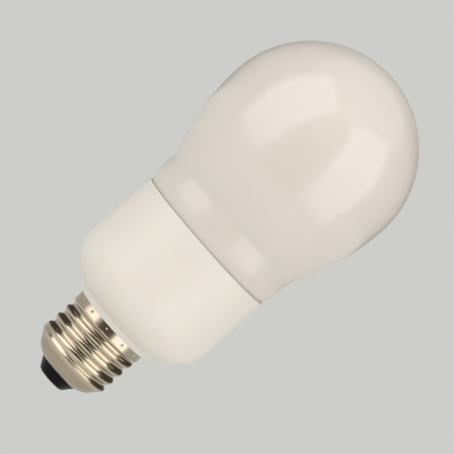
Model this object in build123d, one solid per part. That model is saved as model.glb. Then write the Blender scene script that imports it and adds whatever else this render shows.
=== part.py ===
"""Globe-shaped compact fluorescent lamp with an E27 screw cap.

The lamp stands on its axis, +Z towards the globe. The origin is on the axis, in the plane of the
centre contact's outer face. Heights are measured from there, radii from the axis, all in mm.
"""

import os
from math import acos, atan2, cos, degrees, pi, radians, sin, sqrt

from build123d import *

# Clearances
FIT = 0.05  # between pieces that are pressed, cemented or crimped together
SLIDE = 0.12  # between moulded pieces that slide into each other
STAND_OFF = 0.1  # between the board and what hangs from it

# Screw cap: nickel-plated sheet with a rolled right-hand round thread
SHEET = 0.3
CAP_HEIGHT = 25.1
CREST_RADIUS = 13.1
THREAD_PITCH = 3.629
THREAD_DEPTH = 1.0
GROOVE_HEIGHT = 11.2  # centre of the lowest full groove at azimuth 0
GROOVE_FIRST = -0.5  # turns from there to where the groove begins
GROOVE_LAST = 3.22  # turns from there to where the groove ends
GROOVE_FADE = 0.42  # turns over which each end runs out
SKIRT_LENGTH = 2.35  # plain skirt above the threaded barrel
BARREL_FOOT = 9.3  # height where the threaded barrel meets the cone
END_FADE = 1.2  # height over which the groove flattens at both ends of the barrel
SHOULDER_HEIGHT = 9.9
SHOULDER_ROUND = 1.6
CONE_END = (10.45, 5.8)  # radius and height
CAP_EDGE = (7.2, 3.8)
EDGE_ROUND = 8.0
BARREL_RINGS = 48
RING_POINTS = 48
EDGE_RINGS = 4

# Crimp dots that lock the skirt onto the plastic spigot
CRIMP_COUNT = 12
CRIMP_BELOW_EDGE = 1.0
CRIMP_PUNCH_RADIUS = 0.5
CRIMP_DEPTH = 0.35

# Cap insulator and centre contact
INSULATOR_FACE = 0.35
INSULATOR_FACE_RADIUS = 4.7
INSULATOR_TOP = 6.8
INSULATOR_ROUND = 0.7
CONTACT_RADIUS = 4.1
CONTACT_THICKNESS = 1.0
CONTACT_ROUND = 0.3
SHANK_RADIUS = 1.5
SHANK_TOP = 8.6
SHANK_BORE = 0.45

# Ballast housing: one moulded cup with a domed floor, a collar and a spigot
HOUSING_RADIUS = 24.92
HOUSING_HEIGHT = 37.0  # skirt edge to rim
HOUSING_WALL = 1.5
LIP_WALL = 0.62
LIP_DEPTH = 1.5
RIM_ROUND = 0.25
DOME_SHOULDER = 11.5
DOME_BREAK = 52.0  # degrees of the shoulder arc
DOME_FLOOR = 18.0
DOME_OVER_COLLAR = 0.3
COLLAR_OVER_CAP = 0.35
COLLAR_TAPER = 1.25
COLLAR_HEIGHT = 2.1
SPIGOT_SEAT = 2.5  # length of the spigot inside the plain skirt
SPIGOT_CLEARANCE = 0.15
SPIGOT_GUIDE = 5.1  # length of the narrow guide inside the thread
SPIGOT_WALL = 1.55
RIB_COUNT = 6
RIB_THICKNESS = 1.2
RIB_DEPTH = 2.5

# Holder that carries the globe and presses the board onto the ribs
HOLDER_PLATE = 1.6
HOLDER_HEIGHT = 8.9
HOLDER_SKIRT = 1.6
HOLDER_VENT = 2.5
LUG_COUNT = 3
LUG_FIRST = 30.0  # degrees
LUG_REACH = 0.5
LUG_WIDTH = 5.0
LUG_HEIGHT = 1.8
LUG_ABOVE_BOARD = 2.6

# Globe: opal glass, blown in one piece
GLOBE_RADIUS = 32.0
GLOBE_CENTRE = 40.7  # above the housing rim
NECK_OVER_HOUSING = 0.53
NECK_BLEND = 4.0
NECK_BLEND_ABOVE_RIM = 9.8
NECK_ROUND = 10.5
NECK_ROUND_ABOVE_RIM = 5.2
GLOBE_SEAT_CLEARANCE = 0.42
GLOBE_SEAT_DEPTH = 4.6  # below the housing rim
CEMENT_BELOW_RIM = 0.1

# Ballast board. Places on it are given for its layout radius and follow the real one
LAYOUT_RADIUS = 22.9
BOARD_CLEARANCE = 0.52
BOARD_THICKNESS = 1.6
LEAD_CLEARANCE = 0.15
LEAD_STUB = 1.2
SOLDER_RADIUS = 0.95
SOLDER_HEIGHT = 0.7
SOLDER_LAND = 0.2
SOLDER_TIP = 0.1

# Choke: two E cores on a bobbin
CHOKE_AT = (-9.0, 2.5)
E_LENGTH = 16.0
CHOKE_ABOVE_COLLAR = 5.2
E_DEPTH = 4.8
E_BACK = 2.1
E_OUTER_LEG = 2.0
E_CENTRE_LEG = 4.0
BOBBIN_TUBE_RADIUS = 4.0
BOBBIN_FLANGE = 0.8
BOBBIN_SIDE = 11.4
BOBBIN_ROUND = 1.5
BOBBIN_RAIL = 3.0
CHOKE_TURNS = 14
CHOKE_WINDING_RADIUS = 5.5
CHOKE_LEAD_RADIUS = 0.35
CHOKE_LEAD_SPAN = 8.0

# Electrolytic capacitor
CAN_AT = (7.5, 4.0)
CAN_RADIUS = 5.1
CAN_ABOVE_COLLAR = 1.65
CAN_ROUND = 0.6
CAN_GROOVE = 0.35
CAN_GROOVE_BELOW_BASE = 1.9
CAN_LEAD_SPAN = 5.0
CAN_LEAD_RADIUS = 0.3

# Feedback toroid
TOROID_AT = (1.5, -8.5)
TOROID_RADIUS = 3.5
TOROID_SECTION = 1.25
TOROID_WIRE = 0.25
TOROID_WINDINGS = 3
TOROID_TURNS = 4
TOROID_TURN_STEP = 15.0  # degrees

# Transistors
TRANSISTORS_AT = {"transistor_high_side": (-7.5, -10.0), "transistor_low_side": (-13.0, -7.0)}
TRANSISTOR_RADIUS = 2.35
TRANSISTOR_FLAT = 1.3
TRANSISTOR_HEIGHT = 4.8
TRANSISTOR_LIFT = 2.0
TRANSISTOR_LEAD_PITCH = 1.27
TRANSISTOR_LEAD_RADIUS = 0.22

# Film capacitors: place on the board, then length, thickness and height
RESONANT_AT = (13.2, -6.3)
RESONANT_SIZE = (10.0, 4.5, 9.0)
COUPLING_AT = (16.0, 2.5)
COUPLING_SIZE = (9.0, 4.0, 8.0)
FILM_ROUND = 1.4
FILM_LEAD_SPAN = 7.5
FILM_LEAD_RADIUS = 0.3

# Input filter inductor: a drum core
DRUM_AT = (7.0, 13.5)
DRUM_RADIUS = 3.0
DRUM_HEIGHT = 8.0
DRUM_FLANGE = 1.0
DRUM_CORE_RADIUS = 1.5
DRUM_WINDING_RADIUS = 2.7
DRUM_TURNS = 12
DRUM_LEAD_SPAN = 3.6
DRUM_LEAD_RADIUS = 0.3

# Axial parts that lie against the board
AXIAL_BEND = 0.7
DIODE_COUNT = 4
DIODES_AT = (-6.2, 13.5)
DIODE_STEP = 3.2
DIODE_RADIUS = 1.35
DIODE_LENGTH = 5.2
DIODE_SPAN = 7.2
DIODE_LEAD_RADIUS = 0.35
RESISTORS_AT = ((12.5, -11.7), (9.0, -15.7), (-3.0, -17.0))
RESISTOR_RADIUS = 1.15
RESISTOR_LENGTH = 6.3
RESISTOR_SPAN = 9.0
RESISTOR_LEAD_RADIUS = 0.28
DIAC_AT = (12.5, 12.0)
DIAC_RADIUS = 0.95
DIAC_LENGTH = 3.9
DIAC_SPAN = 7.0
DIAC_LEAD_RADIUS = 0.25

# Ceramic disc capacitor
DISC_AT = (-10.5, -14.0)
DISC_RADIUS = 2.5
DISC_THICKNESS = 2.2
DISC_LIFT = 0.6
DISC_ROUND = 0.8
DISC_LEAD_SPAN = 3.0
DISC_LEAD_RADIUS = 0.25

# Wrap pins and the lamp's leads
PIN_AT = (2.5, 19.2)
PIN_SIDE = 0.9
PIN_ABOVE = 4.0
PIN_BELOW = 1.4
LAMP_LEAD_RADIUS = 0.25
LAMP_LEAD_ABOVE_BOARD = 0.6
HOLDER_LEAD_HOLE = 1.2

# Mains wires and the fusible resistor in the neck
FUSE_RADIUS = 1.6
FUSE_LENGTH = 9.0
FUSE_BOTTOM = 11.0
FUSE_LEAD_RADIUS = 0.3
FUSE_LEAD_LENGTH = 2.5
FUSE_ROUND = 0.5
WIRE_RADIUS = 0.6
LINE_WIRE_AT = (1.0, -1.2)
LINE_WIRE_RISE = (5.0, 13.0)  # above the fusible resistor's lead, where the wire starts and ends its bend
LINE_WIRE_BEND = 8.0
NEUTRAL_WIRE_AT = (1.2, 8.0)
NEUTRAL_WIRE_BEND = 2.5
NEUTRAL_WIRE_DROP = 2.6  # below the spigot's end

# Heights and radii that follow
housing_rim = CAP_HEIGHT + HOUSING_HEIGHT
globe_seat = housing_rim - GLOBE_SEAT_DEPTH
holder_top = globe_seat - FIT
board_top = holder_top - HOLDER_HEIGHT
board_under = board_top - BOARD_THICKNESS
part_top = board_under - STAND_OFF
housing_bore = HOUSING_RADIUS - HOUSING_WALL
board_radius = housing_bore - BOARD_CLEARANCE
lip_bore = HOUSING_RADIUS - LIP_WALL
lip_step = housing_rim - LIP_DEPTH
collar_top = CAP_HEIGHT + COLLAR_HEIGHT
collar_foot_radius = CREST_RADIUS + COLLAR_OVER_CAP
collar_top_radius = collar_foot_radius + COLLAR_TAPER
dome_end_radius = collar_top_radius + DOME_OVER_COLLAR
neck_radius = HOUSING_RADIUS + NECK_OVER_HOUSING
globe_seat_radius = housing_bore - GLOBE_SEAT_CLEARANCE
skirt_bore = CREST_RADIUS - SHEET
skirt_foot = CAP_HEIGHT - SKIRT_LENGTH
crimp_height = CAP_HEIGHT - CRIMP_BELOW_EDGE
spigot_step = CAP_HEIGHT - SPIGOT_SEAT
spigot_end = spigot_step - SPIGOT_GUIDE
guide_radius = skirt_bore - THREAD_DEPTH - SPIGOT_CLEARANCE - FIT
spigot_bore = guide_radius - SPIGOT_WALL
e_height = (part_top - collar_top - CHOKE_ABOVE_COLLAR - FIT) / 2
can_length = part_top - collar_top - CAN_ABOVE_COLLAR


def turned(*edges):
    """Solid of revolution about Z of a closed outline drawn as radius and height."""
    return revolve(Plane.XZ * make_face(list(edges)), Axis.Z)


def rod(radius, bottom, top, at=(0, 0)):
    """Upright cylinder between two heights."""
    base = (Align.CENTER, Align.CENTER, Align.MIN)
    return Pos(at[0], at[1], bottom) * Cylinder(radius, top - bottom, align=base)


def around(count, first=0.0):
    """Azimuths of evenly spaced features, in degrees."""
    return [first + 360 * index / count for index in range(count)]


def on_board(at):
    """Place on the board, moved in or out with its radius."""
    follow = board_radius / LAYOUT_RADIUS
    return at[0] * follow, at[1] * follow


def smooth(value):
    """Ease from 0 to 1 as the value goes from 0 to 1."""
    held = min(max(value, 0), 1)
    return held * held * (3 - 2 * held)


# Screw cap


def groove_depth(azimuth, height, inset):
    """Depth of the rolled groove at a place on the barrel, on a surface that lies under the outside.

    The section is the round thread's: a root arc and a crest arc of equal radius, tangent to each
    other on the flank. Under the outside, the crest arc is tighter and the root arc wider.
    """
    half_pitch = THREAD_PITCH / 2
    arcs = (half_pitch**2 + THREAD_DEPTH**2) / (2 * THREAD_DEPTH)
    crest_arc = arcs / 2 - inset
    root_arc = arcs / 2 + inset
    turn = azimuth / (2 * pi)
    along = round((height - GROOVE_HEIGHT) / THREAD_PITCH - turn) + turn
    off_centre = abs(height - GROOVE_HEIGHT - THREAD_PITCH * along)
    if off_centre <= root_arc * half_pitch / arcs:
        depth = THREAD_DEPTH - root_arc + sqrt(root_arc**2 - off_centre**2)
    else:
        depth = crest_arc - sqrt(crest_arc**2 - (half_pitch - off_centre) ** 2)
    run_in = smooth((along - GROOVE_FIRST) / GROOVE_FADE)
    run_out = smooth((GROOVE_LAST - along) / GROOVE_FADE)
    ends = smooth((height - BARREL_FOOT) / END_FADE) * smooth((skirt_foot - height) / END_FADE)
    return depth * run_in * run_out * ends


def barrel_radius(height, inset):
    """Radius of the barrel without its thread: straight, with a rounded shoulder at the foot."""
    below = max(SHOULDER_HEIGHT - height, 0)
    return CREST_RADIUS - SHOULDER_ROUND + sqrt((SHOULDER_ROUND - inset) ** 2 - below**2)


def ring(height, radius_at):
    """Smooth closed ring at a height, with its radius as a function of the azimuth."""
    places = [index / RING_POINTS for index in range(RING_POINTS + 1)]
    points = []
    for place in places[:-1]:
        azimuth = 2 * pi * place
        radius = radius_at(azimuth)
        points.append((radius * cos(azimuth), radius * sin(azimuth), height))
    return Wire([Edge.make_spline(points, periodic=True, parameters=places)])


def plain_ring(point):
    """Round ring through a point given as radius and height."""
    return ring(point.Y, lambda azimuth: point.X)


def thread_ring(height, inset):
    """Ring of the threaded barrel at a height, `inset` under the outside."""
    return ring(height, lambda azimuth: barrel_radius(height, inset) - groove_depth(azimuth, height, inset))


def under(edge, place, inset):
    """Point at a place along an edge, moved square to it into the material by the inset."""
    along = edge % place
    return edge @ place - inset * Vector(-along.Y, along.X)


def rolled_edge():
    """Outline of the cap's rolled edge, from the cone to the mouth."""
    return RadiusArc(CONE_END, CAP_EDGE, EDGE_ROUND)


def cone_corner(inset):
    """Corner between the cone and the rolled edge, `inset` under the outside."""
    flank = Line((barrel_radius(BARREL_FOOT, 0), BARREL_FOOT), CONE_END)
    return (under(flank, 1, inset) + under(rolled_edge(), 0, inset)) / 2


def cap_skin(inset):
    """Faces of one side of the sheet from skirt to mouth, with its first and last ring."""
    top = plain_ring(Vector(CREST_RADIUS - inset, CAP_HEIGHT))
    length = skirt_foot - BARREL_FOOT
    heights = [skirt_foot - length * index / BARREL_RINGS for index in range(BARREL_RINGS + 1)]
    thread = [thread_ring(height, inset) for height in heights]
    edge = [plain_ring(cone_corner(inset))]
    edge += [plain_ring(under(rolled_edge(), (k + 1) / EDGE_RINGS, inset)) for k in range(EDGE_RINGS)]
    shells = [
        Shell.make_loft([top, thread[0]], ruled=True),
        Shell.make_loft(thread),
        Shell.make_loft([thread[-1], edge[0]], ruled=True),
        Shell.make_loft(edge),
    ]
    return [face for shell in shells for face in shell.faces()], top, edge[-1]


def crimp_punches(radius):
    """Balls at the crimp dots, one of them in the middle of the front."""
    reach = CREST_RADIUS - CRIMP_DEPTH + CRIMP_PUNCH_RADIUS
    places = [(reach * cos(radians(a)), reach * sin(radians(a))) for a in around(CRIMP_COUNT, -90)]
    return [Pos(x, y, crimp_height) * Sphere(radius) for x, y in places]


def screw_cap():
    """Cap shell of even sheet: skirt with crimp dots, thread, cone and rolled edge."""
    outside, outer_top, outer_mouth = cap_skin(0)
    inside, inner_top, inner_mouth = cap_skin(SHEET)
    skirt_edge = Shell.make_loft([outer_top, inner_top], ruled=True)
    mouth_edge = Shell.make_loft([outer_mouth, inner_mouth], ruled=True)
    cap = Solid(Shell(outside + inside + skirt_edge.faces() + mouth_edge.faces()))
    middle = rod(CREST_RADIUS - SHEET / 2, 0, CAP_HEIGHT)
    bumps = [ball & middle for ball in crimp_punches(CRIMP_PUNCH_RADIUS + SHEET)]
    return cap + bumps - crimp_punches(CRIMP_PUNCH_RADIUS)


def insulator_flange():
    """Solid of the insulator's flange, which fills the cap's cone from inside."""
    inset = SHEET + FIT
    corner = cone_corner(inset)
    edge = under(rolled_edge(), 1, inset)
    return turned(
        ThreePointArc(corner, under(rolled_edge(), 0.5, inset), edge),
        Polyline(edge, (0, edge.Y), (0, INSULATOR_TOP), (corner.X, INSULATOR_TOP), corner),
    )


def cap_insulator():
    """Black glass insulator: a flange inside the cone and a nose below the cap's edge."""
    nose_radius = under(rolled_edge(), 1, SHEET).X - FIT
    nose = turned(
        Polyline(
            (0, INSULATOR_FACE),
            (INSULATOR_FACE_RADIUS, INSULATOR_FACE),
            (nose_radius, CAP_EDGE[1]),
            (nose_radius, INSULATOR_TOP),
            (0, INSULATOR_TOP),
            (0, INSULATOR_FACE),
        )
    )
    face_edge = nose.edges().filter_by(GeomType.CIRCLE).sort_by(Axis.Z)[0]
    nose = fillet(face_edge, INSULATOR_ROUND)
    recess = rod(CONTACT_RADIUS + FIT, 0, CONTACT_THICKNESS + FIT)
    bore = rod(SHANK_RADIUS + FIT, 0, INSULATOR_TOP + 1)
    return insulator_flange() + nose - recess - bore


def centre_contact():
    """Contact disc with a hollow shank that holds the line lead."""
    disc = rod(CONTACT_RADIUS, 0, CONTACT_THICKNESS)
    disc = fillet(disc.edges().sort_by(Axis.Z)[0], CONTACT_ROUND)
    return disc + rod(SHANK_RADIUS, 0, SHANK_TOP) - rod(SHANK_BORE, CONTACT_THICKNESS, SHANK_TOP + 1)


# Ballast housing


def dome_arcs(inset, end_radius):
    """Shoulder and floor arcs of the dome, `inset` under the outside, down to a radius."""
    break_angle = radians(DOME_BREAK)
    shoulder_centre = HOUSING_RADIUS - DOME_SHOULDER
    floor_centre = shoulder_centre + (DOME_SHOULDER - DOME_FLOOR) * cos(break_angle)
    outer_end = acos((dome_end_radius - floor_centre) / DOME_FLOOR)
    floor_height = collar_top + DOME_FLOOR * sin(outer_end)
    shoulder_height = floor_height - (DOME_FLOOR - DOME_SHOULDER) * sin(break_angle)
    end = degrees(acos((end_radius - floor_centre) / (DOME_FLOOR - inset)))
    shoulder = CenterArc(
        (shoulder_centre, shoulder_height), DOME_SHOULDER - inset, -DOME_BREAK, DOME_BREAK
    )
    floor = CenterArc((floor_centre, floor_height), DOME_FLOOR - inset, -end, end - DOME_BREAK)
    return shoulder, floor


def housing_body():
    """Outside of the housing as a full solid, with its spigot stepped to fit the cap."""
    shoulder, floor = dome_arcs(0, dome_end_radius)
    seat_radius = skirt_bore - SPIGOT_CLEARANCE
    return turned(
        Polyline(shoulder @ 1, (HOUSING_RADIUS, housing_rim), (0, housing_rim), (0, spigot_end)),
        shoulder,
        floor,
        Polyline(
            (0, spigot_end),
            (guide_radius, spigot_end),
            (guide_radius, spigot_step),
            (seat_radius, spigot_step),
            (seat_radius, CAP_HEIGHT + FIT),
            (collar_foot_radius, CAP_HEIGHT + FIT),
            (collar_top_radius, collar_top),
            floor @ 0,
        ),
    )


def housing_cavity():
    """Inside of the housing: lip, bore, domed floor and the hole through the spigot."""
    shoulder, floor = dome_arcs(HOUSING_WALL, spigot_bore)
    above = housing_rim + 1
    return turned(
        shoulder,
        floor,
        Polyline(
            shoulder @ 1,
            (housing_bore, lip_step),
            (lip_bore, lip_step),
            (lip_bore, above),
            (0, above),
            (0, spigot_end - 1),
            (spigot_bore, spigot_end - 1),
            floor @ 0,
        ),
    )


def snap_lugs(clearance):
    """Wedges on the holder's skirt that snap into pockets in the housing wall."""
    root = housing_bore - HOLDER_SKIRT / 2
    tip = housing_bore + LUG_REACH - SLIDE + clearance
    low = board_top + LUG_ABOVE_BOARD - clearance
    high = low + LUG_HEIGHT + 2 * clearance
    wedge = make_face(
        Polyline((root, low), (housing_bore - SLIDE, low), (tip, high), (root, high), (root, low))
    )
    lug = extrude(Plane.XZ * wedge, LUG_WIDTH / 2 + clearance, both=True)
    return [Rot(0, 0, angle) * lug for angle in around(LUG_COUNT, LUG_FIRST)]


def housing_rib():
    """Upright rib on the wall whose top carries the board."""
    reach = HOUSING_WALL / 2 + RIB_DEPTH
    outward = housing_bore + HOUSING_WALL / 2
    base = (Align.MAX, Align.CENTER, Align.MAX)
    return Pos(outward, 0, board_under) * Box(reach, RIB_THICKNESS, board_under - collar_top, align=base)


def housing():
    """Moulded housing with its ribs, snap pockets and the dents of the crimp dots."""
    body = housing_body()
    rim = body.edges().filter_by(GeomType.CIRCLE).sort_by(Axis.Z)[-1]
    shell = fillet(rim, RIM_ROUND) - housing_cavity()
    ribs = [(Rot(0, 0, angle) * housing_rib()) & body for angle in around(RIB_COUNT)]
    return shell + ribs - snap_lugs(SLIDE) - crimp_punches(CRIMP_PUNCH_RADIUS + SHEET + FIT)


# Globe and its holder


def globe():
    """Opal globe: spherical crown, long flank, short neck and the seat hidden in the housing.

    The flank is the arc that leaves the crown at its widest and runs tangent into the neck's blend.
    """
    centre = housing_rim + GLOBE_CENTRE
    blend_radius = neck_radius + NECK_BLEND
    blend_height = housing_rim + NECK_BLEND_ABOVE_RIM
    down = centre - blend_height
    inward = GLOBE_RADIUS - blend_radius
    flank = (down**2 + inward**2 - NECK_BLEND**2) / (2 * (NECK_BLEND + inward))
    flank_centre = GLOBE_RADIUS - flank
    flank_angle = degrees(atan2(down, blend_radius - flank_centre))
    round_height = housing_rim + NECK_ROUND_ABOVE_RIM
    round_centre = neck_radius - NECK_ROUND
    round_angle = degrees(acos((globe_seat_radius - round_centre) / NECK_ROUND))
    neck_round = CenterArc((round_centre, round_height), NECK_ROUND, -round_angle, round_angle)
    return turned(
        CenterArc((0, centre), GLOBE_RADIUS, 0, 90),
        CenterArc((flank_centre, centre), flank, -flank_angle, flank_angle),
        CenterArc((blend_radius, blend_height), NECK_BLEND, 180 - flank_angle, flank_angle),
        Line((neck_radius, blend_height), (neck_radius, round_height)),
        neck_round,
        Polyline(
            neck_round @ 0,
            (globe_seat_radius, globe_seat),
            (0, globe_seat),
            (0, centre + GLOBE_RADIUS),
        ),
    )


def globe_cement():
    """Cement ring between the globe's neck and the housing lip."""
    round_height = housing_rim + NECK_ROUND_ABOVE_RIM
    round_centre = neck_radius - NECK_ROUND
    arc_radius = NECK_ROUND + FIT
    top = housing_rim - CEMENT_BELOW_RIM
    top_angle = degrees(atan2(round_height - top, sqrt(arc_radius**2 - (round_height - top) ** 2)))
    foot_angle = degrees(acos((globe_seat_radius + FIT - round_centre) / arc_radius))
    against_glass = CenterArc(
        (round_centre, round_height), arc_radius, -foot_angle, foot_angle - top_angle
    )
    return turned(
        against_glass,
        Polyline(
            against_glass @ 1,
            (lip_bore - FIT, top),
            (lip_bore - FIT, lip_step + FIT),
            (housing_bore - FIT, lip_step + FIT),
            (housing_bore - FIT, globe_seat),
            (globe_seat_radius + FIT, globe_seat),
            against_glass @ 0,
        ),
    )


def lamp_lead_places():
    """Places of the four lead wires, each beside its wrap pin."""
    x, y = on_board(PIN_AT)
    beside = y - PIN_SIDE / 2 - LAMP_LEAD_RADIUS - FIT
    return [(side * x, end * beside) for side in (-1, 1) for end in (-1, 1)]


def globe_holder():
    """Plate under the globe with a skirt down to the board, lead holes, a vent and snap lugs."""
    outer = housing_bore - SLIDE
    holder = rod(outer, board_top, holder_top)
    holder -= rod(outer - HOLDER_SKIRT, board_top - 1, holder_top - HOLDER_PLATE)
    holder += snap_lugs(0)
    holder -= rod(HOLDER_VENT, board_top, holder_top + 1)
    holes = [rod(HOLDER_LEAD_HOLE, board_top, holder_top + 1, place) for place in lamp_lead_places()]
    return holder - holes


# Ballast board and its parts


def spread(at, span, turn=0.0):
    """Two lead places, a span apart about a centre."""
    along = Vector(span / 2, 0).rotate(Axis.Z, turn)
    return [(at[0] - along.X, at[1] - along.Y), (at[0] + along.X, at[1] + along.Y)]


def choke_lead_places():
    """Four leads, two in each rail of the bobbin."""
    rail = (E_DEPTH + BOBBIN_RAIL) / 2 + STAND_OFF
    x, y = on_board(CHOKE_AT)
    return [(x + side * CHOKE_LEAD_SPAN / 2, y + row * rail) for side in (-1, 1) for row in (-1, 1)]


def transistor_lead_places(at):
    """Three leads in a row."""
    return [(at[0] + step * TRANSISTOR_LEAD_PITCH, at[1]) for step in (-1, 0, 1)]


def diode_places():
    """Centres of the rectifier's diodes, in a row."""
    x, y = on_board(DIODES_AT)
    first = x - DIODE_STEP * (DIODE_COUNT - 1) / 2
    return [(first + DIODE_STEP * index, y) for index in range(DIODE_COUNT)]


def soldered_leads():
    """Place and radius of every lead that goes through the board."""
    leads = [(place, CHOKE_LEAD_RADIUS) for place in choke_lead_places()]
    leads += [(place, CAN_LEAD_RADIUS) for place in spread(on_board(CAN_AT), CAN_LEAD_SPAN)]
    for at in TRANSISTORS_AT.values():
        leads += [(place, TRANSISTOR_LEAD_RADIUS) for place in transistor_lead_places(on_board(at))]
    leads += [(place, FILM_LEAD_RADIUS) for place in spread(on_board(RESONANT_AT), FILM_LEAD_SPAN)]
    leads += [(place, FILM_LEAD_RADIUS) for place in spread(on_board(COUPLING_AT), FILM_LEAD_SPAN, 90)]
    leads += [(place, DRUM_LEAD_RADIUS) for place in spread(on_board(DRUM_AT), DRUM_LEAD_SPAN)]
    for at in diode_places():
        leads += [(place, DIODE_LEAD_RADIUS) for place in spread(at, DIODE_SPAN, 90)]
    for at in RESISTORS_AT:
        leads += [(place, RESISTOR_LEAD_RADIUS) for place in spread(on_board(at), RESISTOR_SPAN)]
    leads += [(place, DIAC_LEAD_RADIUS) for place in spread(on_board(DIAC_AT), DIAC_SPAN, 90)]
    leads += [(place, DISC_LEAD_RADIUS) for place in spread(on_board(DISC_AT), DISC_LEAD_SPAN)]
    leads += [(on_board(at), WIRE_RADIUS) for at in (LINE_WIRE_AT, NEUTRAL_WIRE_AT)]
    return leads


def pin_places():
    """Places of the four wrap pins, in two pairs."""
    x, y = on_board(PIN_AT)
    return [(side * x, end * y) for side in (-1, 1) for end in (-1, 1)]


def ballast_board():
    """Round board with a hole for every lead and pin."""
    board = rod(board_radius, board_under, board_top)
    holes = [
        rod(radius + LEAD_CLEARANCE, board_under - 1, board_top + 1, place)
        for place, radius in soldered_leads()
    ]
    pin_hole = PIN_SIDE * sqrt(2) / 2 + LEAD_CLEARANCE
    holes += [rod(pin_hole, board_under - 1, board_top + 1, place) for place in pin_places()]
    return board - holes


def leads_through(places, radius, bottom):
    """Straight leads from a height up through the board."""
    return [rod(radius, bottom, board_top + LEAD_STUB, place) for place in places]


def solder_joints():
    """Cone of solder round every lead on the board's upper face."""
    joints = []
    for (x, y), radius in soldered_leads():
        inner = radius + FIT / 2
        base = max(SOLDER_RADIUS, inner + LEAD_CLEARANCE + SOLDER_LAND)
        tip = inner + SOLDER_TIP
        cone = turned(
            Polyline((inner, 0), (base, 0), (tip, SOLDER_HEIGHT), (inner, SOLDER_HEIGHT), (inner, 0))
        )
        joints.append(Pos(x, y, board_top) * cone)
    return joints


def e_core():
    """One E half of the choke core, back upwards, legs down to the gap."""
    half = E_LENGTH / 2
    window = half - E_OUTER_LEG
    inner = E_CENTRE_LEG / 2
    floor = -E_BACK
    tip = -e_height
    outline = Polyline(
        (-half, 0),
        (half, 0),
        (half, tip),
        (window, tip),
        (window, floor),
        (inner, floor),
        (inner, tip),
        (-inner, tip),
        (-inner, floor),
        (-window, floor),
        (-window, tip),
        (-half, tip),
        (-half, 0),
    )
    return extrude(Plane.XZ * make_face(outline), E_DEPTH / 2, both=True)


def choke_core():
    """Two E halves, legs to legs with a small air gap."""
    x, y = on_board(CHOKE_AT)
    upper = Pos(x, y, part_top) * e_core()
    lower = Pos(x, y, part_top - 2 * e_height - FIT) * (Rot(180, 0, 0) * e_core())
    return [upper, lower]


def choke_bobbin():
    """Bobbin: round tube over the centre legs, two square flanges, two rails with the leads."""
    x, y = on_board(CHOKE_AT)
    window_top = part_top - E_BACK - FIT
    window_bottom = part_top - 2 * e_height + E_BACK
    side = min(BOBBIN_SIDE, E_LENGTH - 2 * E_OUTER_LEG - 2 * FIT)
    flange = extrude(RectangleRounded(side, BOBBIN_SIDE, BOBBIN_ROUND), BOBBIN_FLANGE)
    bobbin = Pos(x, y, window_top - BOBBIN_FLANGE) * flange
    bobbin += Pos(x, y, window_bottom) * flange
    bobbin += rod(BOBBIN_TUBE_RADIUS, window_bottom, window_top, (x, y))
    rail_base = (Align.CENTER, Align.MIN, Align.MAX)
    rail = Box(side, BOBBIN_RAIL, E_BACK + FIT + BOBBIN_FLANGE, align=rail_base)
    rail = Pos(x, y, part_top) * (Pos(0, E_DEPTH / 2 + STAND_OFF, 0) * rail)
    bobbin += [rail, rail.mirror(Plane.XZ.offset(-y))]
    core_hole = Box(E_CENTRE_LEG + 2 * FIT, E_DEPTH + 2 * FIT, 2 * e_height)
    bobbin -= Pos(x, y, part_top - e_height) * core_hole
    inside_rail = part_top - E_BACK - BOBBIN_FLANGE / 2
    return bobbin + leads_through(choke_lead_places(), CHOKE_LEAD_RADIUS, inside_rail)


def ridged_winding(inner, outer, bottom, top, turns, at):
    """Layer winding whose outside shows each turn of wire."""
    step = (top - bottom) / turns
    root = outer - step / 2
    ridges = [
        ThreePointArc(
            (root, bottom + step * index),
            (outer, bottom + step * (index + 0.5)),
            (root, bottom + step * (index + 1)),
        )
        for index in range(turns)
    ]
    back = Polyline((root, top), (inner, top), (inner, bottom), (root, bottom))
    return Pos(at[0], at[1], 0) * turned(*ridges, back)


def choke_winding():
    """Copper winding between the bobbin's flanges."""
    top = part_top - E_BACK - 2 * FIT - BOBBIN_FLANGE
    bottom = part_top - 2 * e_height + E_BACK + BOBBIN_FLANGE + FIT
    inner = BOBBIN_TUBE_RADIUS + FIT
    return ridged_winding(inner, CHOKE_WINDING_RADIUS, bottom, top, CHOKE_TURNS, on_board(CHOKE_AT))


def electrolytic_capacitor():
    """Sleeved can with a rolled groove near its base and two leads."""
    x, y = on_board(CAN_AT)
    can = rod(CAN_RADIUS, part_top - can_length, part_top, (x, y))
    can = fillet(can.edges().filter_by(GeomType.CIRCLE), CAN_ROUND)
    groove = Pos(x, y, part_top - CAN_GROOVE_BELOW_BASE) * Torus(CAN_RADIUS + CAN_GROOVE, 2 * CAN_GROOVE)
    leads = leads_through(spread((x, y), CAN_LEAD_SPAN), CAN_LEAD_RADIUS, part_top - 1)
    return can - groove + leads


def toroid_height():
    """Height of the toroid's middle, so that its turns just clear the board."""
    return part_top - TOROID_SECTION - FIT - 2 * TOROID_WIRE


def toroid_core():
    """Ferrite ring of round section."""
    x, y = on_board(TOROID_AT)
    return Pos(x, y, toroid_height()) * Torus(TOROID_RADIUS, TOROID_SECTION)


def toroid_windings():
    """Turns of wire round the ring, in evenly spaced groups."""
    x, y = on_board(TOROID_AT)
    loop = Torus(TOROID_SECTION + FIT + TOROID_WIRE, TOROID_WIRE)
    turn = Pos(TOROID_RADIUS, 0, 0) * (Rot(90, 0, 0) * loop)
    middle = (TOROID_TURNS - 1) / 2
    angles = [
        group + TOROID_TURN_STEP * (index - middle)
        for group in around(TOROID_WINDINGS, 90)
        for index in range(TOROID_TURNS)
    ]
    return [Pos(x, y, toroid_height()) * (Rot(0, 0, angle) * turn) for angle in angles]


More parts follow.
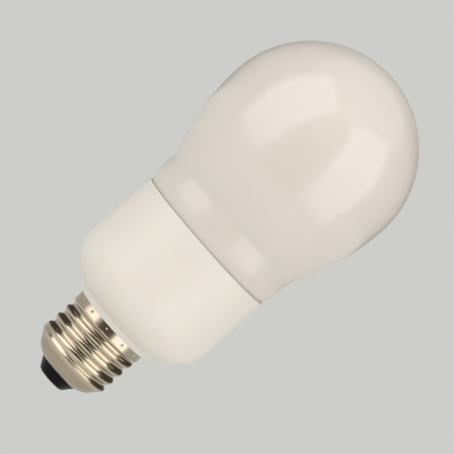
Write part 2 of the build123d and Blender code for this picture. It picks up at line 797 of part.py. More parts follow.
def transistor(at):
    """Plastic body with one flat side on three leads."""
    top = part_top - TRANSISTOR_LIFT
    bottom = top - TRANSISTOR_HEIGHT
    body = rod(TRANSISTOR_RADIUS, bottom, top)
    cut = (Align.CENTER, Align.MIN, Align.MIN)
    side = 2 * TRANSISTOR_RADIUS
    body -= Pos(0, TRANSISTOR_FLAT, bottom) * Box(side, side, TRANSISTOR_HEIGHT, align=cut)
    body = Pos(at[0], at[1], 0) * body
    return body + leads_through(transistor_lead_places(at), TRANSISTOR_LEAD_RADIUS, top - 1)


def film_capacitor(at, turn, length, thickness, height):
    """Dipped film capacitor with rounded edges and two leads."""
    top = (Align.CENTER, Align.CENTER, Align.MAX)
    body = Box(length, thickness, height, align=top)
    body = fillet(body.edges(), FILM_ROUND)
    body = Pos(at[0], at[1], part_top) * (Rot(0, 0, turn) * body)
    inside = part_top - height / 2
    return body + leads_through(spread(at, FILM_LEAD_SPAN, turn), FILM_LEAD_RADIUS, inside)


def inductor_core():
    """Drum of ferrite with two leads in its upper flange."""
    bottom = part_top - DRUM_HEIGHT
    at = on_board(DRUM_AT)
    drum = rod(DRUM_CORE_RADIUS, bottom, part_top, at)
    drum += rod(DRUM_RADIUS, bottom, bottom + DRUM_FLANGE, at)
    drum += rod(DRUM_RADIUS, part_top - DRUM_FLANGE, part_top, at)
    inside = part_top - DRUM_FLANGE / 2
    return drum + leads_through(spread(at, DRUM_LEAD_SPAN), DRUM_LEAD_RADIUS, inside)


def inductor_winding():
    """Copper winding of the drum inductor."""
    bottom = part_top - DRUM_HEIGHT + DRUM_FLANGE + FIT
    top = part_top - DRUM_FLANGE - FIT
    inner = DRUM_CORE_RADIUS + FIT
    return ridged_winding(inner, DRUM_WINDING_RADIUS, bottom, top, DRUM_TURNS, on_board(DRUM_AT))


def axial_part(at, turn, radius, length, span, lead_radius):
    """Round body lying against the board, with one wire bent up at both ends."""
    middle = part_top - radius
    top = board_top + LEAD_STUB
    ends = [(-span / 2, 0, top), (-span / 2, 0, middle), (span / 2, 0, middle), (span / 2, 0, top)]
    path = FilletPolyline(ends, radius=AXIAL_BEND)
    wire = sweep(Plane(origin=path @ 0, z_dir=path % 0) * Circle(lead_radius), path)
    body = Pos(0, 0, middle) * (Rot(0, 90, 0) * Cylinder(radius, length))
    body = fillet(body.edges().filter_by(GeomType.CIRCLE), radius / 4)
    return Pos(at[0], at[1], 0) * (Rot(0, 0, turn) * (body + wire))


def rectifier_diodes():
    """The rectifier's four diodes, side by side."""
    sizes = (DIODE_RADIUS, DIODE_LENGTH, DIODE_SPAN, DIODE_LEAD_RADIUS)
    return [axial_part(at, 90, *sizes) for at in diode_places()]


def resistors():
    """Small resistors round the toroid."""
    sizes = (RESISTOR_RADIUS, RESISTOR_LENGTH, RESISTOR_SPAN, RESISTOR_LEAD_RADIUS)
    return [axial_part(on_board(at), 0, *sizes) for at in RESISTORS_AT]


def diac():
    """Trigger diode in a small glass body."""
    return axial_part(on_board(DIAC_AT), 90, DIAC_RADIUS, DIAC_LENGTH, DIAC_SPAN, DIAC_LEAD_RADIUS)


def ceramic_capacitor():
    """Dipped ceramic disc on two leads."""
    x, y = on_board(DISC_AT)
    middle = part_top - DISC_LIFT - DISC_RADIUS
    disc = Rot(90, 0, 0) * Cylinder(DISC_RADIUS, DISC_THICKNESS)
    disc = fillet(disc.edges().filter_by(GeomType.CIRCLE), DISC_ROUND)
    disc = Pos(x, y, middle) * disc
    return disc + leads_through(spread((x, y), DISC_LEAD_SPAN), DISC_LEAD_RADIUS, middle)


def wrap_pins():
    """Square pins on the board that take the lamp's leads."""
    height = BOARD_THICKNESS + PIN_ABOVE + PIN_BELOW
    base = (Align.CENTER, Align.CENTER, Align.MIN)
    pin = Box(PIN_SIDE, PIN_SIDE, height, align=base)
    return [Pos(x, y, board_under - PIN_BELOW) * pin for x, y in pin_places()]


def lamp_leads():
    """Four lead wires from the globe through the holder to the pins."""
    bottom = board_top + LAMP_LEAD_ABOVE_BOARD
    return [rod(LAMP_LEAD_RADIUS, bottom, globe_seat, place) for place in lamp_lead_places()]


# Mains side


def fusible_resistor():
    """Resistor on the axis, its lower lead in the contact's shank."""
    top = FUSE_BOTTOM + FUSE_LENGTH
    body = rod(FUSE_RADIUS, FUSE_BOTTOM, top)
    body = fillet(body.edges().filter_by(GeomType.CIRCLE), FUSE_ROUND)
    return body + rod(FUSE_LEAD_RADIUS, CONTACT_THICKNESS + FIT, top + FUSE_LEAD_LENGTH)


def wire_along(points, bend):
    """Insulated wire along straight runs joined by tangent arcs."""
    path = FilletPolyline(points, radius=bend)
    return sweep(Plane(origin=path @ 0, z_dir=path % 0) * Circle(WIRE_RADIUS), path)


def line_wire():
    """Wire from the fusible resistor's upper lead to the board."""
    start = FUSE_BOTTOM + FUSE_LENGTH + FUSE_LEAD_LENGTH + FIT
    x, y = on_board(LINE_WIRE_AT)
    low, high = LINE_WIRE_RISE
    route = [(0, 0, start), (0, 0, start + low), (x, y, start + high), (x, y, board_top + LEAD_STUB)]
    return wire_along(route, LINE_WIRE_BEND)


def neutral_wire():
    """Wire from the board past the spigot's end to the inside of the cap's thread."""
    x, y = on_board(NEUTRAL_WIRE_AT)
    out = (skirt_bore - THREAD_DEPTH - FIT - WIRE_RADIUS / 2) / sqrt(x**2 + y**2)
    low = spigot_end - NEUTRAL_WIRE_DROP
    route = [(x, y, board_top + LEAD_STUB), (x, y, spigot_end), (x * out, y * out, low)]
    return wire_along(route, NEUTRAL_WIRE_BEND)


def lamp():
    """Every node by name, as one solid or a list of separate solids."""
    nodes = {
        "globe": globe(),
        "globe_cement": globe_cement(),
        "globe_holder": globe_holder(),
        "housing": housing(),
        "screw_cap": screw_cap(),
        "cap_insulator": cap_insulator(),
        "centre_contact": centre_contact(),
        "ballast_board": ballast_board(),
        "solder_joints": solder_joints(),
        "choke_core": choke_core(),
        "choke_bobbin": choke_bobbin(),
        "choke_winding": choke_winding(),
        "electrolytic_capacitor": electrolytic_capacitor(),
        "toroid_core": toroid_core(),
        "toroid_windings": toroid_windings(),
        "inductor_core": inductor_core(),
        "inductor_winding": inductor_winding(),
        "rectifier_diodes": rectifier_diodes(),
        "resistors": resistors(),
        "diac": diac(),
        "ceramic_capacitor": ceramic_capacitor(),
        "wrap_pins": wrap_pins(),
        "lamp_leads": lamp_leads(),
        "fusible_resistor": fusible_resistor(),
        "line_wire": line_wire(),
        "neutral_wire": neutral_wire(),
        "resonant_capacitor": film_capacitor(on_board(RESONANT_AT), 0, *RESONANT_SIZE),
        "coupling_capacitor": film_capacitor(on_board(COUPLING_AT), 90, *COUPLING_SIZE),
    }
    for name, at in TRANSISTORS_AT.items():
        nodes[name] = transistor(on_board(at))
    return nodes


os.makedirs("parts", exist_ok=True)
for name, pieces in lamp().items():
    solids = pieces if isinstance(pieces, list) else pieces.solids()
    export_step(Compound(children=list(solids)), f"parts/{name}.step")
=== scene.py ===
"""Finishes and studio for a globe-shaped compact fluorescent lamp with a screw cap.

The lamp is upright on its axis, +Z towards the globe, with the cap's contact at the origin. The
floor lies well below it, as under a lamp that hangs. The camera looks at its -Y side and is
rolled, so that the lamp leans across the picture. Lengths are in metres unless a name ends in mm.
Colours are sRGB hex values, turned to linear by one function.
"""

from math import cos, pi, radians, sin

import bpy
import numpy as np
from bpy.props import FloatProperty, FloatVectorProperty, PointerProperty
from bpy.types import Operator, Panel, PropertyGroup
from mathutils import Matrix, Vector

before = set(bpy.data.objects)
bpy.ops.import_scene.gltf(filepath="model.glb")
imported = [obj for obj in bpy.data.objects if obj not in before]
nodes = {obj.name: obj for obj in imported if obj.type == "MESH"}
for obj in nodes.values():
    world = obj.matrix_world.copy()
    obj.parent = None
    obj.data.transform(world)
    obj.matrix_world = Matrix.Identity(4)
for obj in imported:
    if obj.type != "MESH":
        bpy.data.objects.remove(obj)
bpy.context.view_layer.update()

bl_info = {
    "name": "Globe energy saving lamp",
    "version": (1, 0, 0),
    "blender": (4, 5, 0),
    "location": "View3D > Sidebar > Lamp",
    "description": "Finishes for the lamp's pieces and the studio that shows them",
    "category": "Object",
}

MM = 0.001

# Camera
PHOTO_SIDE = 454  # pixels, square
PHOTO_SCALE = 0.2949 * MM  # metres a pixel at the lamp's axis
SENSOR = 36.0  # mm
CLIP_START = 0.01
TARGET = Vector((0.9 * MM, 0, 69.3 * MM))  # what the camera looks at

# Softboxes: width and height, then azimuth from the camera's side to the right, elevation and
# lean in degrees
SOFTBOX_DISTANCE = 1.0
SOFTBOX_SIZE = (1.0, 1.5)
SOFTBOXES = {"softbox_left": (-53, 23, -10), "softbox_right": (53, 21, 0)}

# Cloths that reflections show: first and last azimuth in degrees, foot and colour
CLOTH_RADIUS = 1.3
CLOTH_TOP = 1.5
CLOTH_POSTS = 24
CLOTHS = {
    "cloth_left": (-165, -84, 0.0, "#4a453f"),
    "cloth_right": (84, 165, 0.0, "#4a453f"),
    "cloth_front": (-24, 24, -0.4, "#463e35"),
    "cloth_back": (165, 195, 0.0, "#a8a39b"),
}

# Room and floor
ROOM_RISE = 0.3  # share by which the room is brighter overhead and darker underfoot
FLOOR_HALF = 4.0
FLOOR_HEIGHT = -0.4
FLOOR_FADE = (0.3, 1.2)  # reach over which the floor turns into the background

# Spans in mm over which the lamp's finishes and painted shade change: heights, but for the
# thread's root
NECK = (66, 92)  # satin to glossy glass
NECK_SHADE = (60, 112)  # painted shade in the globe, from darkest near the neck to none
CONE = (7.5, 9.3)  # end of the cap's cone
THREAD_FOOT = (9.0, 9.8)  # start of the thread
THREAD_ROOT = (12.95, 12.25)  # radius of the crest and of the root
SKIRT = (21.8, 22.8)  # start of the cap's plain skirt

# Mix node: its colour sockets share their names with others, so they go by number
MIX_FIRST, MIX_SECOND, MIX_RESULT = 6, 7, 2


def linear(colour):
    """Linear colour of an sRGB hex value such as "#e9e1d7"."""
    shares = np.array([int(colour[i : i + 2], 16) / 255 for i in (1, 3, 5)])
    return tuple(np.where(shares <= 0.04045, shares / 12.92, ((shares + 0.055) / 1.055) ** 2.4))


def colour_property(name, description, colour):
    """Colour that a user may change."""
    return FloatVectorProperty(
        name=name, description=description, subtype="COLOR", min=0, max=1, default=linear(colour)
    )


class LampFinishes(PropertyGroup):
    """Colours of what shows from outside."""

    glass: colour_property("Opal glass", "Colour of the blown globe", "#dad2c9")
    plastic: colour_property("Housing plastic", "Colour of the moulded housing", "#e0d9d0")
    nickel: colour_property("Nickel", "Colour of the plated screw cap", "#cec1ac")
    insulator: colour_property("Black glass", "Colour of the cap's insulator", "#090808")


class StudioSettings(PropertyGroup):
    """Camera and lights."""

    distance: FloatProperty(
        name="Distance", description="Camera to the lamp's axis", default=0.85, unit="LENGTH"
    )
    elevation: FloatProperty(
        name="Elevation",
        description="Camera above the level of what it looks at",
        default=radians(3.3),
        subtype="ANGLE",
    )
    roll: FloatProperty(
        name="Roll",
        description="Lean of the lamp in the picture",
        default=radians(48.6),
        subtype="ANGLE",
    )
    softbox: FloatProperty(
        name="Softbox radiance",
        description="Brightness of the two tall softboxes",
        default=1.4,
        min=0,
    )
    ambient: FloatProperty(
        name="Ambient", description="Brightness of the room around the lamp", default=0.49, min=0
    )
    background: colour_property("Background", "Colour of what is behind the lamp", "#cdcdca")


def feed(tree, node, inputs):
    """Gives a node's inputs a value or the socket that feeds them."""
    for name, value in inputs.items():
        if isinstance(value, bpy.types.NodeSocket):
            tree.links.new(value, node.inputs[name])
        else:
            node.inputs[name].default_value = value


def add(tree, kind, settings=None, inputs=None):
    """Adds a node with its settings and inputs."""
    node = tree.nodes.new(kind)
    for name, value in (settings or {}).items():
        setattr(node, name, value)
    feed(tree, node, inputs or {})
    return node


def new_material(name, constants):
    """Material with its tree and its shader, whose sockets get the constants."""
    material = bpy.data.materials.new(name)
    material.use_nodes = True
    tree = material.node_tree
    tree.nodes.clear()
    shader = add(tree, "ShaderNodeBsdfPrincipled", inputs=constants)
    add(tree, "ShaderNodeOutputMaterial", inputs={"Surface": shader.outputs["BSDF"]})
    return material, tree, shader


def rgba(colour, shares=(1, 1, 1)):
    """Colour with full alpha, dimmed to a share of each channel."""
    return (*(channel * share for channel, share in zip(colour, shares)), 1.0)


def clouded(name, colour, constants, *, cloud_mm, cloud_share, grain_mm, grain_height_mm):
    """Base of most finishes: a colour that clouds a little darker, under a fine grain.

    The clouds are a noise of `cloud_mm` that darkens the colour by up to `cloud_share`. The grain
    is a second noise of `grain_mm` whose height is `grain_height_mm`, used as bump. Real grain is
    often finer still: it is drawn as coarse as it needs to show.
    """
    material, tree, shader = new_material(name, constants)
    place = add(tree, "ShaderNodeTexCoord").outputs["Object"]
    pattern = {"Vector": place, "Scale": 1 / (cloud_mm * MM), "Detail": 3}
    clouds = add(tree, "ShaderNodeTexNoise", inputs=pattern).outputs["Fac"]
    dark = rgba(colour, [1 - cloud_share] * 3)
    colours = {"Factor": clouds, MIX_FIRST: rgba(colour), MIX_SECOND: dark}
    mixed = add(tree, "ShaderNodeMix", {"data_type": "RGBA"}, colours).outputs[MIX_RESULT]
    pattern = {"Vector": place, "Scale": 1 / (grain_mm * MM), "Detail": 2}
    grain = add(tree, "ShaderNodeTexNoise", inputs=pattern).outputs["Fac"]
    relief = {"Height": grain, "Distance": grain_height_mm * MM, "Strength": 1.0}
    bump = add(tree, "ShaderNodeBump", inputs=relief).outputs["Normal"]
    feed(tree, shader, {"Base Color": mixed, "Normal": bump})
    return material


def by_height(tree, span_mm, values):
    """Value that runs smoothly from the first to the second over a span of heights."""
    place = add(tree, "ShaderNodeTexCoord").outputs["Object"]
    height = add(tree, "ShaderNodeSeparateXYZ", inputs={"Vector": place}).outputs["Z"]
    low, high = (edge * MM for edge in span_mm)
    first, second = values
    ramp = {"Value": height, "From Min": low, "From Max": high, "To Min": first, "To Max": second}
    smooth = {"interpolation_type": "SMOOTHSTEP"}
    return add(tree, "ShaderNodeMapRange", smooth, ramp).outputs["Result"]


def rolled_nickel(colour):
    """Nickel plate on rolled sheet: drawn lines, darker roots, a cone with painted shade and a
    satin skirt.

    The lines are a noise drawn out around the axis, 8 mm long and 0.4 mm wide, which is coarser
    than real ones, so that they show. They vary colour, roughness and bump. The colour darkens as
    the radius falls from the crest to the thread's root, and the cone under the thread is darkened
    evenly with painted shade. Roughness stays below 0.27, so that reflections keep their edges.
    """
    line_length, line_stretch, line_height = 8 * MM, 20, 0.003 * MM
    # How far the drawn lines and the roots darken the colour, and the strength of the cone's
    # painted shade
    line_tarnish, root_darkening, cone_painted_shade = 0.3, 0.3, 0.75
    thread_roughness, skirt_roughness, line_roughness = 0.15, 0.17, 0.1
    # Darker tone for the lines, the roots and the cone's painted shade
    streak_root_and_shade_tone = (0.62, 0.59, 0.54)  # share of each channel that is left

    material, tree, shader = new_material("rolled_nickel_plate", {"Metallic": 1.0})
    product, added = {"operation": "MULTIPLY"}, {"operation": "MULTIPLY_ADD"}
    place = add(tree, "ShaderNodeTexCoord").outputs["Object"]
    stretch = {"Vector": place, "Scale": (1, 1, line_stretch)}
    drawn = add(tree, "ShaderNodeMapping", inputs=stretch).outputs["Vector"]
    pattern = {"Vector": drawn, "Scale": 1 / line_length, "Detail": 4}
    lines = add(tree, "ShaderNodeTexNoise", inputs=pattern).outputs["Fac"]

    flat = add(tree, "ShaderNodeVectorMath", product, {0: place, 1: (1, 1, 0)}).outputs["Vector"]
    radius = add(tree, "ShaderNodeVectorMath", {"operation": "LENGTH"}, {0: flat}).outputs["Value"]
    crest, root = (edge * MM for edge in THREAD_ROOT)
    ramp = {"Value": radius, "From Min": crest, "From Max": root}
    smooth = {"interpolation_type": "SMOOTHSTEP"}
    depth = add(tree, "ShaderNodeMapRange", smooth, ramp).outputs["Result"]
    # Darker towards the thread's roots, above the thread's foot
    roots = by_height(tree, THREAD_FOOT, (0, root_darkening))
    # Painted shade: the cone under the thread is darkened evenly
    cone = by_height(tree, CONE, (cone_painted_shade, 0))
    darkening_and_painted_shade = add(tree, "ShaderNodeMath", added, {0: depth, 1: roots, 2: cone}).outputs[0]
    streaks_and_painted_shade = add(tree, "ShaderNodeMath", added, {0: lines, 1: line_tarnish, 2: darkening_and_painted_shade}).outputs[0]
    colours = {"Factor": streaks_and_painted_shade, MIX_FIRST: rgba(colour), MIX_SECOND: rgba(colour, streak_root_and_shade_tone)}
    mixed = add(tree, "ShaderNodeMix", {"data_type": "RGBA"}, colours).outputs[MIX_RESULT]

    satin = by_height(tree, SKIRT, (thread_roughness, skirt_roughness))
    roughness = add(tree, "ShaderNodeMath", added, {0: lines, 1: line_roughness, 2: satin})
    relief = {"Height": lines, "Distance": line_height, "Strength": 1.0}
    bump = add(tree, "ShaderNodeBump", inputs=relief).outputs["Normal"]
    feed(tree, shader, {"Base Color": mixed, "Roughness": roughness.outputs[0], "Normal": bump})
    return material


def blown_opal(colour):
    """Blown glass with a white coat inside: glossy over a milky depth and faintly wavy.

    Towards the neck the glass is satin in place of glossy, and greyer with painted shade, darkest
    near the housing. Clouds in the coat and waves in the glass are noises of the sizes below.
    Roughness stays below 0.27, as past it the denoiser draws a line across the globe.
    """
    cloud_size, cloud_share, neck_shade_share = 30 * MM, 0.15, 0.9
    wave_size, wave_height = 22 * MM, 0.05 * MM
    # Darker tone for the clouds and for the painted shade towards the neck
    cloud_and_shade_tone = (0.92, 0.92, 0.92)  # share of each channel that is left
    neck_roughness, globe_roughness = 0.26, 0.17

    constants = {
        "IOR": 1.57,
        "Subsurface Weight": 0.35,
        "Subsurface Radius": (1.0, 0.9, 0.8),
        "Subsurface Scale": 4 * MM,
    }
    material, tree, shader = new_material("blown_opal_glass", constants)
    place = add(tree, "ShaderNodeTexCoord").outputs["Object"]
    pattern = {"Vector": place, "Scale": 1 / cloud_size, "Detail": 3}
    clouds = add(tree, "ShaderNodeTexNoise", inputs=pattern).outputs["Fac"]
    # Clouds darken the colour at random, and painted shade greys it towards the neck
    coat = {0: clouds, 1: cloud_share, 2: by_height(tree, NECK_SHADE, (neck_shade_share, 0))}
    clouds_and_neck_shade = add(tree, "ShaderNodeMath", {"operation": "MULTIPLY_ADD"}, coat).outputs[0]
    colours = {"Factor": clouds_and_neck_shade, MIX_FIRST: rgba(colour), MIX_SECOND: rgba(colour, cloud_and_shade_tone)}
    mixed = add(tree, "ShaderNodeMix", {"data_type": "RGBA"}, colours).outputs[MIX_RESULT]
    roughness = by_height(tree, NECK, (neck_roughness, globe_roughness))
    pattern = {"Vector": place, "Scale": 1 / wave_size, "Detail": 2}
    waves = add(tree, "ShaderNodeTexNoise", inputs=pattern).outputs["Fac"]
    relief = {"Height": waves, "Distance": wave_height, "Strength": 1.0}
    bump = add(tree, "ShaderNodeBump", inputs=relief).outputs["Normal"]
    feed(tree, shader, {"Base Color": mixed, "Roughness": roughness, "Normal": bump})
    return material


def dress(names, material):
    """Gives nodes a material."""
    for name in names:
        slots = nodes[name].data.materials
        slots.clear()
        slots.append(material)


class LAMP_OT_globe(Operator):
    """Opal glass for the globe"""

    bl_idname = "lamp.globe"
    bl_label = "Opal globe"

    def execute(self, context):
        dress(["globe"], blown_opal(context.scene.lamp_finishes.glass))
        return {"FINISHED"}


class LAMP_OT_housing(Operator):
    """Moulded plastic for the housing and cement at its rim"""

    bl_idname = "lamp.housing"
    bl_label = "Ballast housing"

    def execute(self, context):
        # Moulded polyester, satin: soft highlights over the fine grain of a sparked mould
        constants = {
            "Roughness": 0.42,
            "IOR": 1.5,
            "Subsurface Weight": 0.25,
            "Subsurface Scale": 2 * MM,
        }
        plastic = clouded(
            "moulded_polyester",
            context.scene.lamp_finishes.plastic,
            constants,
            cloud_mm=18,
            cloud_share=0.02,
            grain_mm=0.4,
            grain_height_mm=0.004,
        )
        # Lamp cement, trowelled: matt, off-white and sandy
        cement = clouded(
            "trowelled_lamp_cement",
            linear("#e9e2d6"),
            {"Roughness": 0.9},
            cloud_mm=3,
            cloud_share=0.15,
            grain_mm=0.6,
            grain_height_mm=0.06,
        )
        dress(["housing"], plastic)
        dress(["globe_cement"], cement)
        return {"FINISHED"}


class LAMP_OT_screw_cap(Operator):
    """Nickel plate for the screw cap, black glass for its insulator, tin for its contact"""

    bl_idname = "lamp.screw_cap"
    bl_label = "Screw cap"

    def execute(self, context):
        finishes = context.scene.lamp_finishes
        dress(["screw_cap"], rolled_nickel(finishes.nickel))
        # Black glass, poured into the cap: deep black with a soft gloss
        black_glass = clouded(
            "poured_black_glass",
            finishes.insulator,
            {"Roughness": 0.2, "IOR": 1.52, "Specular IOR Level": 0.08},
            cloud_mm=4,
            cloud_share=0.3,
            grain_mm=2,
            grain_height_mm=0.02,
        )
        # Tinned brass: soft grey shine
        tin = clouded(
            "tinned_brass",
            linear("#c9c4b8"),
            {"Metallic": 1.0, "Roughness": 0.35},
            cloud_mm=3,
            cloud_share=0.2,
            grain_mm=1,
            grain_height_mm=0.02,
        )
        dress(["cap_insulator"], black_glass)
        dress(["centre_contact"], tin)
        return {"FINISHED"}


# Finishes of what the housing holds. Each row has the material's name, its colour, metallic and
# roughness, its clouds' size in mm and share, its grain's size and height in mm, and its nodes
INNER_FINISHES = (
    # Injection moulded: even and satin
    ("moulded_polycarbonate", "#e4dfd5", 0, 0.45, 15, 0.04, 0.4, 0.004, ("globe_holder",)),
    ("moulded_nylon", "#1d1d1f", 0, 0.4, 5, 0.15, 0.3, 0.005, ("choke_bobbin",)),
    # Layers of paper pressed with resin: tan and mottled
    ("pressed_resin_paper", "#b58f52", 0, 0.55, 2, 0.18, 0.3, 0.006, ("ballast_board",)),
    # Solder and tin that have flowed: bright, with soft dimples
    (
        "flowed_solder", "#c8c8ca", 1, 0.3, 1, 0.15, 0.5, 0.02,
        ("solder_joints", "wrap_pins", "lamp_leads"),
    ),
    # Pressed and sintered powder: dark, matt and gritty
    (
        "sintered_ferrite", "#3a3a3e", 0, 0.6, 2, 0.2, 0.2, 0.01,
        ("choke_core", "toroid_core", "inductor_core"),
    ),
    # Enamel over drawn copper: warm shine
    (
        "enamelled_copper", "#b4602c", 1, 0.28, 2, 0.2, 0.5, 0.01,
        ("choke_winding", "inductor_winding", "toroid_windings"),
    ),
    # Shrunk over the can: glossy and a little uneven
    (
        "shrunk_vinyl_sleeve", "#1b2440", 0, 0.25, 6, 0.1, 1.5, 0.01,
        ("electrolytic_capacitor",),
    ),
    # Transfer moulded with filler: black and matt
    (
        "moulded_epoxy", "#202022", 0, 0.5, 3, 0.15, 0.2, 0.006,
        ("transistor_high_side", "transistor_low_side", "rectifier_diodes"),
    ),
    # Dipped coats: rounded gloss with slight sags
    ("dipped_lacquer", "#c9a877", 0, 0.35, 2, 0.1, 0.8, 0.01, ("resistors",)),
    ("dipped_blue_epoxy", "#2d6aa3", 0, 0.4, 2, 0.12, 0.8, 0.02, ("ceramic_capacitor",)),
    (
        "dipped_red_epoxy", "#7c2a1c", 0, 0.3, 3, 0.12, 1, 0.03,
        ("resonant_capacitor", "coupling_capacitor"),
    ),
    # Drawn glass tube: smooth and sharp in its highlights
    ("drawn_blue_glass", "#27518f", 0, 0.1, 2, 0.1, 1, 0.004, ("diac",)),
    # Brushed-on coat with a mineral filler: dull
    ("painted_flameproof_coat", "#5f7f6a", 0, 0.7, 2, 0.12, 0.4, 0.02, ("fusible_resistor",)),
    # Extruded insulation: smooth and waxy
    ("extruded_red_vinyl", "#a51f17", 0, 0.4, 4, 0.1, 1, 0.01, ("line_wire",)),
    ("extruded_black_vinyl", "#1a1a1b", 0, 0.4, 4, 0.1, 1, 0.01, ("neutral_wire",)),
)


class LAMP_OT_ballast(Operator):
    """Finishes for everything that the housing holds"""

    bl_idname = "lamp.ballast"
    bl_label = "Ballast parts"

    def execute(self, context):
        for name, colour, metallic, roughness, *pattern, names in INNER_FINISHES:
            cloud_mm, cloud_share, grain_mm, grain_height_mm = pattern
            material = clouded(
                name,
                linear(colour),
                {"Metallic": metallic, "Roughness": roughness},
                cloud_mm=cloud_mm,
                cloud_share=cloud_share,
                grain_mm=grain_mm,
                grain_height_mm=grain_height_mm,
            )
            dress(names, material)
        return {"FINISHED"}


def softbox(name, azimuth, elevation, lean, radiance):
    """Tall area lamp that faces the lamp, at angles in degrees."""
    azimuth, elevation, lean = radians(azimuth), radians(elevation), radians(lean)
    light = bpy.data.lights.new(name, "AREA")
    light.shape = "RECTANGLE"
    light.size, light.size_y = SOFTBOX_SIZE
    light.energy = radiance * pi * light.size * light.size_y
    lamp = bpy.data.objects.new(name, light)
    bpy.context.scene.collection.objects.link(lamp)
    away = Vector((sin(azimuth) * cos(elevation), -cos(azimuth) * cos(elevation), sin(elevation)))
    turn = away.to_track_quat("Z", "Y").to_matrix() @ Matrix.Rotation(lean, 3, "Z")
    lamp.matrix_world = Matrix.Translation(TARGET + SOFTBOX_DISTANCE * away) @ turn.to_4x4()
    lamp.visible_camera = False


def grid_mesh(name, points):
    """Mesh of quads over a grid of points, given as an array of rows, columns and x, y, z."""
    rows, columns = points.shape[:2]
    index = np.arange(rows * columns).reshape(rows, columns)
    quads = np.stack([index[:-1, :-1], index[:-1, 1:], index[1:, 1:], index[1:, :-1]], axis=-1)
    mesh = bpy.data.meshes.new(name)
    mesh.from_pydata(points.reshape(-1, 3).tolist(), [], quads.reshape(-1, 4).tolist())
    mesh.polygons.foreach_set("use_smooth", np.ones(len(mesh.polygons), bool))
    return mesh


def stage_piece(name, points, material):
    """Piece of the studio from a grid of points."""
    piece = bpy.data.objects.new(name, grid_mesh(name, points))
    piece.data.materials.append(material)
    bpy.context.scene.collection.objects.link(piece)
    return piece


def dark_cloth(name, first, last, foot, colour):
    """Upright cloth seen only in reflections: a studio's dark.

    It is part of a cylinder round the lamp, from the first azimuth to the last and from its foot
    to the common top.
    """
    arc = np.linspace(radians(first), radians(last), CLOTH_POSTS)
    azimuth, height = np.meshgrid(arc, np.array([foot, CLOTH_TOP]))
    x, y = CLOTH_RADIUS * np.sin(azimuth), -CLOTH_RADIUS * np.cos(azimuth)
    # Napped felt: dull and without a highlight
    constants = {"Base Color": rgba(linear(colour)), "Roughness": 1.0}
    felt, _, _ = new_material(name + "_felt", constants)
    cloth = stage_piece(name, np.stack([x, y, height], axis=-1), felt)
    cloth.visible_camera = False
    cloth.visible_diffuse = False
    cloth.visible_shadow = False
    cloth.visible_transmission = False


def studio_floor(colour):
    """Flat paper floor that fades into the background away from the lamp.

    A camera under it sees through it, so that the lamp can be looked at from below.
    """
    # Matt paper: pale, and it takes the lamp's shadow
    paper = {"Base Color": rgba(linear("#f2f2ef")), "Roughness": 0.9}
    material, tree, shader = new_material("floor_paper", paper)
    product = {"operation": "MULTIPLY"}
    to_camera = add(tree, "ShaderNodeLightPath").outputs["Is Camera Ray"]
    place = add(tree, "ShaderNodeTexCoord").outputs["Object"]
    reach = add(tree, "ShaderNodeVectorMath", {"operation": "LENGTH"}, {0: place}).outputs["Value"]
    near, far = FLOOR_FADE
    ramp = {"Value": reach, "From Min": near, "From Max": far}
    smooth = {"interpolation_type": "SMOOTHSTEP"}
    away = add(tree, "ShaderNodeMapRange", smooth, ramp).outputs["Result"]
    faded = add(tree, "ShaderNodeMath", product, {0: away, 1: to_camera}).outputs[0]
    shown = add(tree, "ShaderNodeEmission", inputs={"Color": rgba(colour), "Strength": 1.0})
    surfaces = {0: faded, 1: shader.outputs["BSDF"], 2: shown.outputs["Emission"]}
    above = add(tree, "ShaderNodeMixShader", inputs=surfaces).outputs["Shader"]
    backface = add(tree, "ShaderNodeNewGeometry").outputs["Backfacing"]
    from_below = add(tree, "ShaderNodeMath", product, {0: backface, 1: to_camera}).outputs[0]
    clear = add(tree, "ShaderNodeBsdfTransparent").outputs["BSDF"]
    both = add(tree, "ShaderNodeMixShader", inputs={0: from_below, 1: above, 2: clear})
    feed(tree, tree.nodes["Material Output"], {"Surface": both.outputs["Shader"]})
    side = np.linspace(-FLOOR_HALF, FLOOR_HALF, 2)
    x, y = np.meshgrid(side, side)
    stage_piece("floor", np.stack([x, y, np.full_like(x, FLOOR_HEIGHT)], axis=-1), material)


def studio_world(colour, ambient):
    """Room light, brighter from above; the camera and reflections see the background's colour."""
    world = bpy.data.worlds.new("room")
    world.use_nodes = True
    tree = world.node_tree
    tree.nodes.clear()
    path = add(tree, "ShaderNodeLightPath").outputs
    higher = {"operation": "MAXIMUM"}
    sharp = {0: path["Is Glossy Ray"], 1: path["Is Transmission Ray"]}
    seen = {0: path["Is Camera Ray"], 1: add(tree, "ShaderNodeMath", higher, sharp).outputs[0]}
    direct = add(tree, "ShaderNodeMath", higher, seen).outputs[0]
    way = add(tree, "ShaderNodeTexCoord").outputs["Generated"]
    upwards = add(tree, "ShaderNodeSeparateXYZ", inputs={"Vector": way}).outputs["Z"]
    slope = {0: upwards, 1: ambient * ROOM_RISE, 2: ambient}
    strength = add(tree, "ShaderNodeMath", {"operation": "MULTIPLY_ADD"}, slope).outputs[0]
    white = {"Color": (1, 1, 1, 1), "Strength": strength}
    room = add(tree, "ShaderNodeBackground", inputs=white).outputs["Background"]
    plain_colour = {"Color": rgba(colour), "Strength": 1.0}
    shown = add(tree, "ShaderNodeBackground", inputs=plain_colour).outputs["Background"]
    mix = add(tree, "ShaderNodeMixShader", inputs={0: direct, 1: room, 2: shown})
    add(tree, "ShaderNodeOutputWorld", inputs={"Surface": mix.outputs["Shader"]})
    bpy.context.scene.world = world


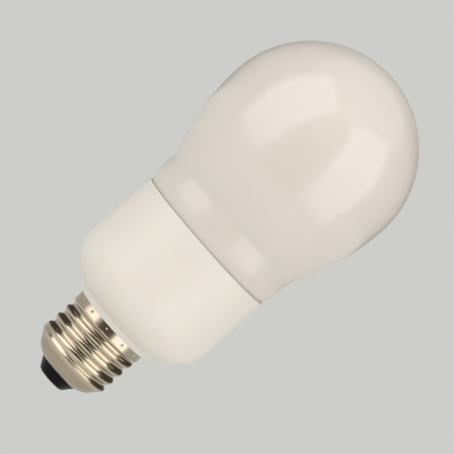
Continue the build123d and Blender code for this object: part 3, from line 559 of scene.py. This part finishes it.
class LAMP_OT_studio(Operator):
    """Floor, room, two softboxes and the camera"""

    bl_idname = "lamp.studio"
    bl_label = "Studio"

    def execute(self, context):
        studio = context.scene.lamp_studio
        studio_floor(studio.background)
        studio_world(studio.background, studio.ambient)
        for name, angles in SOFTBOXES.items():
            softbox(name, *angles, studio.softbox)
        for name, shape in CLOTHS.items():
            dark_cloth(name, *shape)
        camera = bpy.data.cameras.new("camera")
        camera.sensor_width = SENSOR
        camera.lens = SENSOR * studio.distance / (PHOTO_SIDE * PHOTO_SCALE)
        camera.clip_start = CLIP_START
        viewer = bpy.data.objects.new("camera", camera)
        context.scene.collection.objects.link(viewer)
        away = Vector((0, -cos(studio.elevation), sin(studio.elevation)))
        turn = away.to_track_quat("Z", "Y").to_matrix() @ Matrix.Rotation(studio.roll, 3, "Z")
        viewer.matrix_world = Matrix.Translation(TARGET + studio.distance * away) @ turn.to_4x4()
        context.scene.camera = viewer
        context.scene.view_settings.view_transform = "Standard"
        return {"FINISHED"}


STEPS = (LAMP_OT_globe, LAMP_OT_housing, LAMP_OT_screw_cap, LAMP_OT_ballast, LAMP_OT_studio)


class LAMP_PT_panel(Panel):
    """Sidebar panel with the lamp's colours, the studio's settings and every step"""

    bl_idname = "LAMP_PT_panel"
    bl_label = "Globe lamp"
    bl_space_type = "VIEW_3D"
    bl_region_type = "UI"
    bl_category = "Lamp"

    def draw(self, context):
        for group in (context.scene.lamp_finishes, context.scene.lamp_studio):
            for name in group.__annotations__:
                self.layout.prop(group, name)
        for step in STEPS:
            self.layout.operator(step.bl_idname)


CLASSES = (LampFinishes, StudioSettings, *STEPS, LAMP_PT_panel)


def register():
    """Makes the classes and their settings known to Blender."""
    for one in CLASSES:
        bpy.utils.register_class(one)
    bpy.types.Scene.lamp_finishes = PointerProperty(type=LampFinishes)
    bpy.types.Scene.lamp_studio = PointerProperty(type=StudioSettings)


def unregister():
    """Takes the classes and their settings out of Blender."""
    del bpy.types.Scene.lamp_studio
    del bpy.types.Scene.lamp_finishes
    for one in reversed(CLASSES):
        bpy.utils.unregister_class(one)


def main():
    """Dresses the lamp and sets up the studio."""
    register()
    bpy.ops.lamp.globe()
    bpy.ops.lamp.housing()
    bpy.ops.lamp.screw_cap()
    bpy.ops.lamp.ballast()
    bpy.ops.lamp.studio()


if __name__ == "__main__":
    main()
